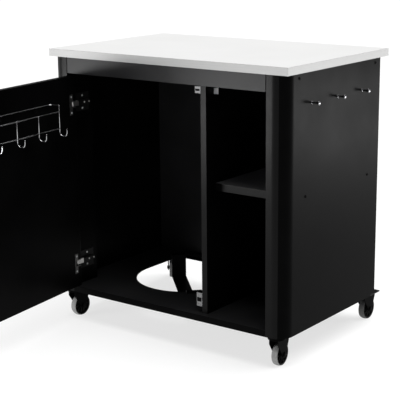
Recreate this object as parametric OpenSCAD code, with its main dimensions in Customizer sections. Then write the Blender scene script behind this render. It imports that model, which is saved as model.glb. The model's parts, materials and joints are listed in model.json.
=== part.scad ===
// Kitchen island cart: a sheet-metal cabinet on four swivel casters under a flat worktop.
// Frame: X to the right, Y to the back, Z up; the origin is on the ground under the worktop's centre.

/* [Worktop] */
// width of the worktop, side to side
top_w = 930; // [760:5:1200]
// depth of the worktop, front to back
top_d = 600; // [500:5:750]
// thickness of the worktop board
top_t = 24.7; // [18:0.1:40]
// height of the worktop's upper face above the ground
top_z = 923.1; // [850:0.1:1000]
// thickness of the edging strip round the board
edging_t = 2; // [1:0.5:4]

/* [Cabinet] */
// overhang of the worktop past each side panel
side_overhang = 9; // [0:1:40]
// overhang of the worktop past the front
front_overhang = 1.7; // [0:0.1:30]
// overhang of the worktop past the back
back_overhang = 38.3; // [5:0.1:80]
// thickness of the sheet metal
sheet_t = 1.5; // [1:0.1:2.5]
// outer radius of the wrapped front corners
corner_r = 48.2; // [20:0.1:80]
// half the distance between the two front posts
opening_half = 390; // [300:1:450]
// height of the apron under the worktop
apron_h = 50.9; // [30:0.1:120]
// height of the cabinet floor above the ground
floor_z = 122.5; // [110:0.1:180]
// depth of the hinge post, front to back
hinge_post_d = 116.8; // [116:0.1:160]
// depth of the right-hand post, front to back
front_post_d = 60; // [40:0.1:64]
// thickness of the partition's boxed front edge
partition_t = 20; // [12:1:40]
// right-hand face of the partition, from the centre
partition_x = 158; // [60:1:250]

/* [Shelf] */
// height of the shelf's upper face above the ground
shelf_z = 537; // [300:1:750]
// height of the shelf's folded edges
shelf_h = 24; // [15:1:40]
// distance of the shelf's front edge behind the cabinet front
shelf_setback = 68.3; // [20:0.1:150]

/* [Bottle opening] */
// radius of the rounded front of the opening in the floor
well_r = 174; // [120:1:200]
// centre of the rounded part, side to side
well_x = -139; // [-180:1:-100]
// centre of the rounded part, front to back
well_y = 5; // [-40:1:40]
// straight back edge of the opening
well_back = 221; // [180:1:235]
// width of the cradle strap
strap_w = 53; // [30:1:80]
// thickness of the cradle strap
strap_t = 3; // [2:0.5:5]
// height of the strap's upper face above the ground
strap_z = 44; // [30:1:80]

/* [Door] */
// clearance between the door's free edge and the partition's right-hand face
door_lap = 10; // [4:1:18]
// thickness of the door
door_t = 20; // [15:1:30]
// gap under the door
door_gap_low = 2; // [1:0.5:6]
// gap over the door
door_gap_top = 8.5; // [2:0.5:15]
// gap between the door and the left post
door_gap_side = 6; // [5:0.5:10]
// outer radius of the door's folded front edges
door_edge_r = 4; // [3:0.5:6]
// angle the door stands open at rest
door_open = 83.06; // [0:0.01:92]
// height of the hinge pair's centres
hinge_zs = [205, 745]; // [150:1:800]

/* [Hook rack] */
// diameter of the rack's wire
wire_d = 3.6; // [3:0.1:6]
// distance between neighbouring hooks
hook_pitch = 107.3; // [60:0.1:140]
// number of hooks
hook_n = 4; // [2:1:5]
// first hook, measured from the door's hinge edge
hook_start = 143.3; // [110:0.1:180]
// distance of the rack's front from the door
rack_d = 38; // [25:1:60]
// inner-to-outer radius of the hooks' turned-up ends
hook_r = 14; // [8:1:20]

/* [Pegs] */
// height of the pegs above the ground
peg_z = 804.5; // [600:0.1:860]
// distance between neighbouring pegs
peg_pitch = 150; // [80:0.1:160]
// distance of the middle peg in front of the worktop's centre line
peg_shift = 3.3; // [0:0.1:20]
// length of a peg outside the panel
peg_l = 28; // [15:1:50]

/* [Casters] */
// wheel diameter
wheel_d = 75; // [50:1:100]
// wheel width
wheel_w = 20; // [15:1:30]
// thickness of the tread moulded round the wheel
tread_t = 3; // [2:0.5:6]
// height of a caster from the ground to its upper face
caster_h = 101; // [80:1:130]
// distance of the wheel's centre behind its swivel axis
caster_trail = 20.5; // [15:0.5:35]
// inset of the swivel axis from the cabinet's side
caster_inset_x = 44; // [35:1:80]
// inset of the swivel axis from the cabinet's front and from the base's back
caster_inset_y = 31; // [30:1:80]
// angles the four casters point at: front left, front right, rear left, rear right
caster_turn = [-2.5, 4.2, 37, -1.1]; // [-180:0.1:180]

/* [Hidden] */
body_half = top_w / 2 - side_overhang;
front_y = -top_d / 2 + front_overhang;
back_y = top_d / 2 - back_overhang;
under_z = top_z - top_t;
base_z = caster_h;
inner_half = body_half - sheet_t;
gap = 0.2;
flange_d = 20;
apron_z = under_z - apron_h;

rail_t = 4;
rail_w = 59.6;
rail_back_y = top_d / 2;
rail_back_front_y = 236;
tray_back_y = back_y - 2 * sheet_t - gap;
rim_z = 104;
lip_d = 10;

part_left_x = partition_x - partition_t;
part_front_y = front_y + door_t + 0.8;
part_box_d = 60;

shelf_front_y = front_y + shelf_setback;
shelf_back_y = 240;
shelf_screw_in = 47;
shelf_screw_z = shelf_z - shelf_h / 2;

strap_angle = -45.5;
strap_shift = 4;
strap_far = 261;
strap_near = well_r - 2;
strap_tab = 24;
strap_slot_w = strap_w + 2;

door_x0 = -opening_half + door_gap_side;
door_x1 = partition_x - door_lap;
door_z0 = floor_z + door_gap_low;
door_z1 = apron_z - door_gap_top;
door_back_y = front_y + door_t;
pivot_x = door_x0 + 5;
pivot_y = front_y + door_t / 2;

knuckle_r = 5;
pin_r = 2.5;
run_fit = 0.05;
seat_fit = 0.02;
knuckle_h = 17;
ear_t = 2.5;
notch_half = knuckle_h / 2 + ear_t + 2.5;
wing_h = 68;
wing_x = [18, 34];
plate_y = [-261, -199];
plate_t = 2;
plate_h = 60;
plate_screw_y = plate_y[0] + 30;
plate_screw_dz = [-21, 21];
arm_y = [plate_y[0], plate_y[1] - 8];
arm_half = 7;
arm_wall = 2;
arm_web = 9;
arm_top_x = pivot_x + 3;
pin_over = 0.8;
cup_screw_x = door_x0 + (wing_x[0] + wing_x[1]) / 2;
cup_screw_dz = [-26, 26];
cup_t = 1.5;
cup_web = 1.5;
ear_in = 4;
notch_r = 7;

wire_r = wire_d / 2;
rack_top_z = 763;
rack_mid_z = 743;
rack_low_z = 689;
hook_turn_z = 679;
hook_tip_z = 688;
rack_bend_r = 10;
wire_gap_y = wire_r + 2;
rail_r = wire_r - 0.1;
wire_over = wire_r + 0.4;
rack_x0 = door_x0 + hook_start;
rack_x1 = rack_x0 + (hook_n - 1) * hook_pitch;
tab_xs = [rack_x0 + 73, rack_x1 - 73];
tab_w = 12;
tab_t = 3;
tab_z = [745, 768];
tab_screw_z = 751;

handle_x = door_x1 - 40;
handle_z = [560, 720];
handle_r = 5;
handle_post_r = 4;
handle_reach = 32;
handle_over = 15;
handle_thread = 10;

screw_r = 2.5;
screw_head_r = 4.6;
screw_head_h = 2.4;
small_r = 2;
small_head_r = 3.6;
small_head_h = 1.8;
screw_l = 10;
shelf_screw_l = 8;
small_screw_l = 9.5;
peg_ys = [for (i = [-1 : 1]) i * peg_pitch - peg_shift];
peg_r = 3.4;
peg_collar_r = 4.4;
peg_collar_t = 1.2;
peg_head_r = 6.4;
peg_flare = 6;
peg_rim = 2.5;
peg_dome = 1.5;
peg_stud_r = 3;
peg_stud_l = 9;
peg_nut_r = 5.8;
peg_nut_h = 5;
side_screw_ys = [-224, 229.6];
side_screw_z = 883;
shelf_screw_ys = [shelf_front_y + shelf_screw_in, shelf_back_y - shelf_screw_in];
top_screw_xs = [-300, -100, 100, 300];
top_screw_ys = [-150, 100];
top_screw_front = front_y + sheet_t + 9;
top_screw_side = inner_half - 12;
top_screw_l = 14;
fold_d = 18;

catch_w = 22;
catch_d = 26;
catch_t = 2;
catch_low_z = [143, 187];
catch_top_z = [820, 841];
catch_screw_in = 14;
catch_low_screws = [catch_low_z[0] + 6, catch_low_z[1] - 6];
catch_top_screws = [(catch_top_z[0] + catch_top_z[1]) / 2];
magnet_in = [4, 6];
magnet_d = 10;
magnet_low = 4;
rivet_r = 1.4;
rivet_dx = 4;
strike_t = 0.75;
strike_in = 4;
bracket_y = -225;
bracket_z = 825;
bracket_half_y = 11;
bracket_half_z = 9;
bracket_t = 2;
bracket_reach = 16;

fork_in = 13;
fork_t = 3;
fork_out = fork_in + fork_t;
fork_top_z = 96;
fork_plate_t = 3.5;
fork_y = [-19.5, 50];
fork_shoulder_z = 77;
fork_eye_r = 11;
crown_r = 28;
head_r = 29;
head_t = 4;
stem_r = 4;
stem_top = 15;
stem_nut_r = 7.5;
stem_nut_h = 6.5;
collar_r = 8;
collar_t = 3.5;
collar_gap = 1.5;
axle_r = 4;
axle_head_r = 7;
axle_head_t = 3.8;
axle_nut_r = 7.4;
axle_nut_t = 4;
axle_end = 0.5;
axle_z = wheel_d / 2;
core_r = wheel_d / 2 - tread_t;
core_half = wheel_w / 2 - 0.6;
core_rim = 4;
core_web = 6;
hub_r = 9;
hub_half = wheel_w / 2 + 2;
tread_bevel = 1.6;

cut = 1;
eps = 0.5;
fine = 64;
mid = 40;
few = 24;

caster_x = body_half - caster_inset_x;
caster_ys = [front_y + caster_inset_y, rail_back_y - caster_inset_y];
caster_at = [
    [-caster_x, caster_ys[0]],
    [caster_x, caster_ys[0]],
    [-caster_x, caster_ys[1]],
    [caster_x, caster_ys[1]]
];

paint = [0.07, 0.07, 0.075];
zinc = [0.75, 0.75, 0.77];
bright = [0.85, 0.85, 0.87];
white = [0.95, 0.95, 0.94];
grey = [0.45, 0.45, 0.45];
black = [0.04, 0.04, 0.04];

// ---------- shared shapes ----------

// a block given by its low and high faces
module block(x, y, z) {
    translate([x[0], y[0], z[0]]) cube([x[1] - x[0], y[1] - y[0], z[1] - z[0]]);
}

// a cylinder along +X from x[0] to x[1]
module rod_x(x, y, z, r, n = mid) {
    translate([x[0], y, z]) rotate([0, 90, 0]) cylinder(r = r, h = x[1] - x[0], $fn = n);
}

// a cylinder along +Y from y[0] to y[1]
module rod_y(x, y, z, r, n = mid) {
    translate([x, y[0], z]) rotate([-90, 0, 0]) cylinder(r = r, h = y[1] - y[0], $fn = n);
}

// a cylinder along +Z from z[0] to z[1]
module rod_z(x, y, z, r, n = mid) {
    translate([x, y, z[0]]) cylinder(r = r, h = z[1] - z[0], $fn = n);
}

// the body's plan outline, shrunk by "in" on every side, with rounded front corners
module body_block(in, y1, z) {
    r = corner_r - in;
    intersection() {
        union() {
            for (s = [-1, 1])
                rod_z(s * (body_half - corner_r), front_y + corner_r, z, r, fine);
            block([-body_half + corner_r, body_half - corner_r], [front_y + in, y1], z);
            block([-body_half + in, body_half - in], [front_y + corner_r, back_y], z);
        }
        block([-body_half, body_half], [front_y, y1], z);
    }
}

// turns what is drawn for the closed door to the angle it stands at
module on_door() {
    translate([pivot_x, pivot_y, 0]) rotate([0, 0, -door_open]) translate([-pivot_x, -pivot_y, 0])
        children();
}

// places what is drawn round a swivel axis at one of the four casters
module on_caster(i) {
    translate([caster_at[i][0], caster_at[i][1], 0]) rotate([0, 0, caster_turn[i]]) children();
}

// a pan-head screw along +X, its head on the low side
module screw_x(x, y, z, r, head_r, head_h) {
    rod_x(x, y, z, r, few);
    rod_x([x[0] - head_h, x[0]], y, z, head_r, few);
}

// ---------- worktop ----------

// a rod at each place where a screw goes up into the worktop
module worktop_rods(r, z) {
    for (x = top_screw_xs) rod_z(x, top_screw_front, z, r, few);
    for (s = [-1, 1], y = top_screw_ys) rod_z(s * top_screw_side, y, z, r, few);
}

module worktop() {
    color(white) difference() {
        block([-top_w / 2 + edging_t, top_w / 2 - edging_t],
              [-top_d / 2 + edging_t, top_d / 2 - edging_t], [under_z, top_z]);
        worktop_rods(small_r + seat_fit, [under_z - cut, under_z + top_screw_l + eps]);
    }
}

module worktop_edging() {
    color(white) difference() {
        block([-top_w / 2, top_w / 2], [-top_d / 2, top_d / 2], [under_z, top_z]);
        block([-top_w / 2 + edging_t, top_w / 2 - edging_t],
              [-top_d / 2 + edging_t, top_d / 2 - edging_t], [under_z - cut, top_z + cut]);
    }
}

module worktop_screws() {
    face = under_z - sheet_t;
    color(zinc) {
        worktop_rods(small_r, [face - eps, under_z + top_screw_l]);
        worktop_rods(small_head_r, [face - small_head_h, face]);
    }
}

// ---------- cabinet shell ----------

// the right-hand panel: a flat side wrapped round the front corner, with folds at its back and top
module side_panel_shape() {
    z = [base_z, under_z];
    corner = [body_half - corner_r, front_y + corner_r];
    difference() {
        union() {
            block([inner_half, body_half], [corner[1], back_y], z);
            intersection() {
                difference() {
                    rod_z(corner[0], corner[1], z, corner_r, fine);
                    rod_z(corner[0], corner[1], [z[0] - cut, z[1] + cut], corner_r - sheet_t, fine);
                }
                block([corner[0], body_half], [front_y, corner[1]], z);
            }
            block([opening_half, corner[0]], [front_y, front_y + sheet_t], z);
            block([body_half - flange_d, inner_half], [back_y - sheet_t, back_y],
                  [base_z + rail_t + gap, under_z]);
            block([body_half - flange_d, inner_half], [corner[1], back_y - 2 * sheet_t - cut],
                  [under_z - sheet_t, under_z]);
        }
        block([inner_half - cut, body_half + cut], [rail_back_front_y - gap, back_y + cut],
              [base_z - cut, base_z + rail_t + gap]);
        for (y = side_screw_ys)
            rod_x([inner_half - cut, body_half + cut], y, side_screw_z, screw_r + run_fit, few);
        for (y = top_screw_ys)
            rod_z(top_screw_side, y, [under_z - sheet_t - cut, under_z + cut], small_r + run_fit, few);
    }
}

module side_panel_left() {
    color(paint) mirror([1, 0, 0]) side_panel_shape();
}

module side_panel_right() {
    x = [inner_half - cut, body_half + cut];
    color(paint) difference() {
        side_panel_shape();
        for (y = peg_ys)
            rod_x(x, y, peg_z, peg_stud_r + run_fit, few);
        for (y = shelf_screw_ys)
            rod_x(x, y, shelf_screw_z, screw_r + run_fit, few);
    }
}

module apron() {
    x = [-opening_half + 2 * gap, opening_half - 2 * gap];
    fold_y = front_y + sheet_t + fold_d;
    color(paint) difference() {
        union() {
            block(x, [front_y, front_y + sheet_t], [apron_z, under_z]);
            block(x, [front_y, fold_y], [under_z - sheet_t, under_z]);
            block(x, [front_y, fold_y], [apron_z, apron_z + sheet_t]);
        }
        worktop_rods(small_r + run_fit, [under_z - sheet_t - cut, under_z + cut]);
    }
}

module back_panel() {
    color(paint)
        block([-inner_half + gap, inner_half - gap], [back_y - 2 * sheet_t, back_y - sheet_t],
              [base_z + rail_t + gap, under_z - gap]);
}

// a panel whose front edge is folded into a box
module partition() {
    z = [floor_z, under_z - gap];
    far = partition_x - sheet_t;
    color(paint) difference() {
        union() {
            block([far, partition_x], [part_front_y, tray_back_y], z);
            block([part_left_x, partition_x], [part_front_y, part_front_y + sheet_t], z);
            block([part_left_x, part_left_x + sheet_t], [part_front_y, part_front_y + part_box_d], z);
            block([part_left_x + sheet_t, far], [tray_back_y - sheet_t, tray_back_y], z);
        }
        for (y = shelf_screw_ys)
            rod_x([far - cut, partition_x + cut], y, shelf_screw_z, screw_r + run_fit, few);
        for (hole_z = concat(catch_low_screws, catch_top_screws))
            rod_x([part_left_x - cut, part_left_x + sheet_t + cut], part_front_y + catch_screw_in,
                  hole_z, small_r + run_fit, few);
        rod_x([far - cut, partition_x + cut], bracket_y, bracket_z, small_r + run_fit, few);
    }
}

// a folded channel behind the panel's front strip, reaching back by "depth"
module post_shape(depth) {
    x = opening_half;
    z = [floor_z, under_z - sheet_t - gap];
    y0 = front_y + sheet_t;
    block([x, x + sheet_t], [y0, y0 + depth], z);
    block([x, body_half - corner_r], [y0, y0 + sheet_t], z);
    block([x, inner_half], [y0 + depth - sheet_t, y0 + depth], z);
}

module hinge_post() {
    color(paint) difference() {
        mirror([1, 0, 0]) post_shape(hinge_post_d);
        for (hz = hinge_zs, dz = plate_screw_dz)
            rod_x([-opening_half - sheet_t - cut, -opening_half + cut], plate_screw_y, hz + dz,
                  small_r + run_fit, few);
    }
}

module front_post() {
    color(paint) post_shape(front_post_d);
}

// ---------- floor and base ----------

// the opening's outline: rounded in front, square behind
module well_block(grow, z) {
    rod_z(well_x, well_y, z, well_r + grow, 2 * fine);
    block([well_x - well_r - grow, well_x + well_r + grow], [well_y, well_back + grow], z);
}

// runs children along the strap's own direction, from the opening's centre
module along_strap() {
    translate([well_x, well_y + strap_shift, 0]) rotate([0, 0, strap_angle]) children();
}

module floor_tray() {
    x = inner_half - gap;
    lip = [-opening_half + 2 * gap, opening_half - 2 * gap];
    fold_z = [base_z + rail_t, floor_z - eps];
    hole_z = [rim_z - cut, floor_z + cut];
    color(paint) difference() {
        union() {
            body_block(sheet_t + gap, tray_back_y, [floor_z - sheet_t, floor_z]);
            block(lip, [front_y, front_y + sheet_t], [base_z, floor_z]);
            block(lip, [front_y, front_y + lip_d], [floor_z - sheet_t, floor_z]);
            for (side = [[-x, -x + sheet_t], [x - sheet_t, x]])
                block(side, [front_y + corner_r, tray_back_y], fold_z);
            block([-x, x], [tray_back_y - sheet_t, tray_back_y], fold_z);
            well_block(sheet_t, [rim_z, fold_z[1]]);
        }
        well_block(0, hole_z);
        along_strap()
            block([-strap_far, strap_near + strap_t], [-strap_slot_w / 2, strap_slot_w / 2], hole_z);
    }
}

module base_front_rail() {
    color(paint) difference() {
        body_block(sheet_t + gap, front_y + rail_w, [base_z, base_z + rail_t]);
        for (i = [0, 1])
            rod_z(caster_at[i][0], caster_at[i][1], [base_z - cut, base_z + rail_t + cut],
                  stem_r + run_fit, mid);
    }
}

module base_rear_rail() {
    color(paint) difference() {
        block([-body_half, body_half], [rail_back_front_y, rail_back_y], [base_z, base_z + rail_t]);
        for (i = [2, 3])
            rod_z(caster_at[i][0], caster_at[i][1], [base_z - cut, base_z + rail_t + cut],
                  stem_r + run_fit, mid);
    }
}

module cradle_strap() {
    y = [-strap_w / 2, strap_w / 2];
    color(paint) along_strap() {
        block([-strap_far, strap_near], y, [strap_z - strap_t, strap_z]);
        block([-strap_far, -strap_far + strap_t], y, [strap_z - strap_t, floor_z + strap_t]);
        block([strap_near - strap_t, strap_near], y, [strap_z - strap_t, floor_z + strap_t]);
        block([-strap_far - strap_tab, -strap_far + strap_t], y, [floor_z, floor_z + strap_t]);
        block([strap_near - strap_t, strap_near + strap_tab], y, [floor_z, floor_z + strap_t]);
    }
}

// ---------- shelf and fasteners ----------

// a tray turned upside down: its edges are folded down all round
module shelf() {
    x = [partition_x + gap, inner_half - gap];
    y = [shelf_front_y, shelf_back_y];
    z = [shelf_z - shelf_h, shelf_z];
    color(paint) difference() {
        block(x, y, z);
        block([x[0] + sheet_t, x[1] - sheet_t], [y[0] + sheet_t, y[1] - sheet_t],
              [z[0] - cut, z[1] - sheet_t]);
        for (hole_y = shelf_screw_ys)
            rod_x([x[0] - cut, x[1] + cut], hole_y, shelf_screw_z, screw_r + run_fit, few);
    }
}

module shelf_screws() {
    far = partition_x - sheet_t;
    color(black) for (y = shelf_screw_ys) {
        screw_x([far, far + shelf_screw_l], y, shelf_screw_z, screw_r, screw_head_r, screw_head_h);
        mirror([1, 0, 0])
            screw_x([-body_half, -body_half + shelf_screw_l], y, shelf_screw_z, screw_r, screw_head_r,
                    screw_head_h);
    }
}

module side_screws() {
    color(black) for (flip = [[0, 0, 0], [1, 0, 0]], y = side_screw_ys) mirror(flip)
        screw_x([-body_half, -body_half + screw_l], y, side_screw_z, screw_r, screw_head_r,
                screw_head_h);
}

// a turned peg with a waisted neck and a rounded flared head
module peg(y) {
    color(bright) translate([body_half, y, peg_z]) rotate([0, 90, 0]) {
        cylinder(r = peg_collar_r, h = peg_collar_t, $fn = fine);
        cylinder(r = peg_r, h = peg_l - peg_rim, $fn = fine);
        translate([0, 0, peg_l - peg_dome - peg_rim - peg_flare])
            cylinder(r1 = peg_r, r2 = peg_head_r, h = peg_flare, $fn = fine);
        translate([0, 0, peg_l - peg_dome - peg_rim])
            cylinder(r = peg_head_r, h = peg_rim, $fn = fine);
        translate([0, 0, peg_l - peg_dome])
            cylinder(r1 = peg_head_r, r2 = peg_head_r - peg_dome, h = peg_dome, $fn = fine);
        translate([0, 0, -peg_stud_l]) cylinder(r = peg_stud_r, h = peg_stud_l + cut, $fn = mid);
    }
}

module peg_front() { peg(peg_ys[0]); }
module peg_middle() { peg(peg_ys[1]); }
module peg_rear() { peg(peg_ys[2]); }

module peg_nuts() {
    color(zinc) for (y = peg_ys) difference() {
        translate([inner_half - peg_nut_h, y, peg_z]) rotate([0, 90, 0])
            cylinder(r = peg_nut_r, h = peg_nut_h, $fn = 6);
        rod_x([inner_half - peg_nut_h - cut, inner_half + cut], y, peg_z, peg_stud_r + seat_fit, few);
    }
}

// ---------- catches ----------

// an angle on the partition with a magnet block at its front
module catch_shape(z, screw_zs) {
    x = part_left_x;
    y = part_front_y + cut;
    difference() {
        union() {
            block([x - catch_t, x], [y, y + catch_d], z);
            block([x - catch_w, x], [y, y + catch_t], z);
            block([x - catch_w + magnet_in[0], x - magnet_in[1]], [y + catch_t, y + catch_t + magnet_d],
                  [z[0] + magnet_low, z[1] - magnet_low]);
        }
        for (hole_z = screw_zs)
            rod_x([x - catch_t - cut, x + cut], part_front_y + catch_screw_in, hole_z,
                  small_r + run_fit, few);
        for (dx = [-rivet_dx, rivet_dx])
            rod_y(x - catch_w / 2 + dx, [y - cut, y + catch_t + magnet_d / 2], (z[0] + z[1]) / 2,
                  rivet_r, few);
    }
}

module catch_top() { color(zinc) catch_shape(catch_top_z, catch_top_screws); }
module catch_bottom() { color(zinc) catch_shape(catch_low_z, catch_low_screws); }

// an angle: one leg on the partition, the other facing the front
module partition_bracket() {
    y = [bracket_y - bracket_half_y, bracket_y + bracket_half_y];
    z = [bracket_z - bracket_half_z, bracket_z + bracket_half_z];
    color(zinc) difference() {
        union() {
            block([partition_x, partition_x + bracket_t], y, z);
            block([partition_x, partition_x + bracket_reach], [y[0], y[0] + bracket_t], z);
        }
        rod_x([partition_x - cut, partition_x + bracket_t + cut], bracket_y, bracket_z,
              small_r + run_fit, few);
    }
}

// small pan-head screws that hold the catches, the bracket and the hinge plates
module inner_screws() {
    color(zinc) {
        for (z = concat(catch_low_screws, catch_top_screws))
            screw_x([part_left_x - catch_t, part_left_x + shelf_screw_l],
                    part_front_y + catch_screw_in, z, small_r, small_head_r, small_head_h);
        mirror([1, 0, 0])
            screw_x([-partition_x - bracket_t, -partition_x + sheet_t + small_r], bracket_y, bracket_z,
                    small_r, small_head_r, small_head_h);
        for (hz = hinge_zs, dz = plate_screw_dz)
            mirror([1, 0, 0])
                screw_x([opening_half - plate_t, opening_half + shelf_screw_l], plate_screw_y, hz + dz,
                        small_r, small_head_r, small_head_h);
    }
}

// ---------- hinges ----------

module hinge_plate(hz) {
    x = -opening_half;
    color(black) difference() {
        block([x, x + plate_t], plate_y, [hz - plate_h / 2, hz + plate_h / 2]);
        for (dz = plate_screw_dz)
            rod_x([x - cut, x + plate_t + cut], plate_screw_y, hz + dz, small_r + run_fit, few);
    }
}

module hinge_plate_bottom() { hinge_plate(hinge_zs[0]); }
module hinge_plate_top() { hinge_plate(hinge_zs[1]); }

// a hollow arm on the plate
module hinge_arm(hz) {
    color(black) difference() {
        block([-opening_half + plate_t, arm_top_x], arm_y, [hz - arm_half, hz + arm_half]);
        block([-opening_half + cut, arm_top_x - arm_wall], [arm_y[0] + arm_web, arm_y[1] - arm_web],
              [hz - arm_half + arm_wall, hz + arm_half - arm_wall]);
    }
}

module hinge_arm_bottom() { hinge_arm(hinge_zs[0]); }
module hinge_arm_top() { hinge_arm(hinge_zs[1]); }

// the link that carries the pin in front of the arm
module hinge_link(hz) {
    z = [hz - knuckle_h / 2, hz + knuckle_h / 2];
    color(bright) difference() {
        union() {
            block([pivot_x - knuckle_r, arm_top_x], [pivot_y, arm_y[0]], z);
            rod_z(pivot_x, pivot_y, z, knuckle_r, mid);
        }
        rod_z(pivot_x, pivot_y, [z[0] - cut, z[1] + cut], pin_r + seat_fit, mid);
    }
}

module hinge_link_bottom() { hinge_link(hinge_zs[0]); }
module hinge_link_top() { hinge_link(hinge_zs[1]); }

module hinge_pins() {
    half = knuckle_h / 2 + ear_t + pin_over;
    color(zinc) for (hz = hinge_zs)
        rod_z(pivot_x, pivot_y, [hz - half, hz + half], pin_r, mid);
}

// the cup let into the door: a winged plate on the inner face and two ears round the pin
module hinge_cup(hz) {
    ear_z = knuckle_h / 2 + pin_over;
    wing = [door_x0 + wing_x[0], door_x0 + wing_x[1]];
    web_x = wing[1] - ear_in;
    depth = [pivot_y - ear_in, door_back_y + eps];
    color(bright) on_door() difference() {
        union() {
            block(wing, [door_back_y, door_back_y + cup_t], [hz - wing_h / 2, hz + wing_h / 2]);
            for (low = [hz + ear_z, hz - ear_z - ear_t])
                block([pivot_x - ear_in, web_x], depth, [low, low + ear_t]);
            block([web_x - cup_web, web_x], depth, [hz - ear_z - eps, hz + ear_z + eps]);
        }
        block([wing[0] - cut, web_x - cup_web], [door_back_y - cut, door_back_y + cup_t + cut],
              [hz - ear_z, hz + ear_z]);
        rod_z(pivot_x, pivot_y, [hz - plate_h / 2, hz + plate_h / 2], pin_r + run_fit, mid);
        for (dz = cup_screw_dz)
            rod_y(cup_screw_x, [door_back_y - cut, door_back_y + cup_t + cut], hz + dz,
                  small_r + run_fit, few);
    }
}

module hinge_cup_bottom() { hinge_cup(hinge_zs[0]); }
module hinge_cup_top() { hinge_cup(hinge_zs[1]); }

module cup_screws() {
    face = door_back_y + cup_t;
    color(zinc) on_door() for (hz = hinge_zs, dz = cup_screw_dz) {
        rod_y(cup_screw_x, [face - small_screw_l, face], hz + dz, small_r, few);
        rod_y(cup_screw_x, [face, face + small_head_h], hz + dz, small_head_r, few);
    }
}

// ---------- door ----------

// the room cut in the door's hinge edge for a hinge's knuckle and ears
module hinge_notches() {
    for (hz = hinge_zs)
        block([door_x0 - cut, door_x0 + wing_x[1] - ear_in + cut], [pivot_y - notch_r, door_back_y + cut],
              [hz - notch_half, hz + notch_half]);
}

// a rounded fold along the door's height, its centre at the origin
module door_edge(side) {
    r = door_edge_r;
    z = [door_z0, door_z1];
    intersection() {
        difference() {
            rod_z(0, 0, z, r, mid);
            rod_z(0, 0, [z[0] - cut, z[1] + cut], r - sheet_t, mid);
        }
        block(side, [-r, 0], z);
    }
}

// the outer tray of the door, folded back on all four sides
module door_front() {
    r = door_edge_r;
    x = [door_x0, door_x1];
    z = [door_z0, door_z1];
    color(paint) on_door() difference() {
        union() {
            block([x[0] + r, x[1] - r], [front_y, front_y + sheet_t], z);
            translate([x[0] + r, front_y + r, 0]) door_edge([-r, 0]);
            translate([x[1] - r, front_y + r, 0]) door_edge([0, r]);
            block([x[0], x[0] + sheet_t], [front_y + r, door_back_y], z);
            block([x[1] - sheet_t, x[1]], [front_y + r, door_back_y], z);
            for (low = [z[0], z[1] - sheet_t])
                block([x[0] + r, x[1] - r], [front_y + eps, door_back_y - sheet_t],
                      [low, low + sheet_t]);
        }
        hinge_notches();
        for (hz = handle_z)
            rod_y(handle_x, [front_y - cut, front_y + sheet_t + cut], hz, small_r + run_fit, few);
    }
}

module door_back() {
    x = [door_x0 + sheet_t + gap / 2, door_x1 - sheet_t - gap / 2];
    hole_y = [door_back_y - sheet_t - cut, door_back_y + cut];
    color(paint) on_door() difference() {
        block(x, [door_back_y - sheet_t, door_back_y], [door_z0, door_z1]);
        hinge_notches();
        for (hz = hinge_zs, dz = cup_screw_dz)
            rod_y(cup_screw_x, hole_y, hz + dz, small_r + run_fit, few);
        for (hz = handle_z)
            rod_y(handle_x, hole_y, hz, small_r + run_fit, few);
        for (tab_x = tab_xs)
            rod_y(tab_x, hole_y, tab_screw_z, small_r + run_fit, few);
    }
}

module handle() {
    y_bar = front_y - handle_reach;
    color(bright) on_door() difference() {
        union() {
            rod_z(handle_x, y_bar, [handle_z[0] - handle_over, handle_z[1] + handle_over], handle_r,
                  fine);
            for (hz = handle_z)
                rod_y(handle_x, [y_bar, front_y], hz, handle_post_r, fine);
        }
        for (hz = handle_z)
            rod_y(handle_x, [front_y - handle_thread - cut, front_y + cut], hz, small_r + seat_fit, few);
    }
}

module handle_screws() {
    color(zinc) on_door() for (hz = handle_z) {
        rod_y(handle_x, [front_y - handle_thread, door_back_y], hz, small_r, few);
        rod_y(handle_x, [door_back_y, door_back_y + small_head_h], hz, small_head_r, few);
    }
}

// thin steel plates on the door's inner face that meet the catches' magnets
module strike_plates() {
    color(zinc) on_door() for (z = [catch_low_z, catch_top_z])
        block([part_left_x - catch_w + magnet_in[0], part_left_x - magnet_in[1]],
              [door_back_y, door_back_y + strike_t], [z[0] + strike_in, min(z[1], door_z1) - strike_in]);
}

// ---------- hook rack ----------

// a bend of wire in the X-Y plane, its centre at the origin
module wire_bend(r, angle, thick) {
    rotate_extrude(angle = angle, $fn = fine) translate([r, 0]) circle(r = thick, $fn = few);
}

// one hook: a straight drop and a half turn away from the door
module hook(x, z_top) {
    y = door_back_y + rack_d;
    rod_z(x, y, [hook_turn_z, z_top], wire_r, few);
    translate([x, y + hook_r, hook_turn_z]) rotate([0, 90, 0]) rotate([0, 0, -90])
        wire_bend(hook_r, 180, wire_r);
    rod_z(x, y + 2 * hook_r, [hook_turn_z, hook_tip_z], wire_r, few);
    translate([x, y + 2 * hook_r, hook_tip_z]) sphere(r = wire_r, $fn = few);
}

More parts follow.
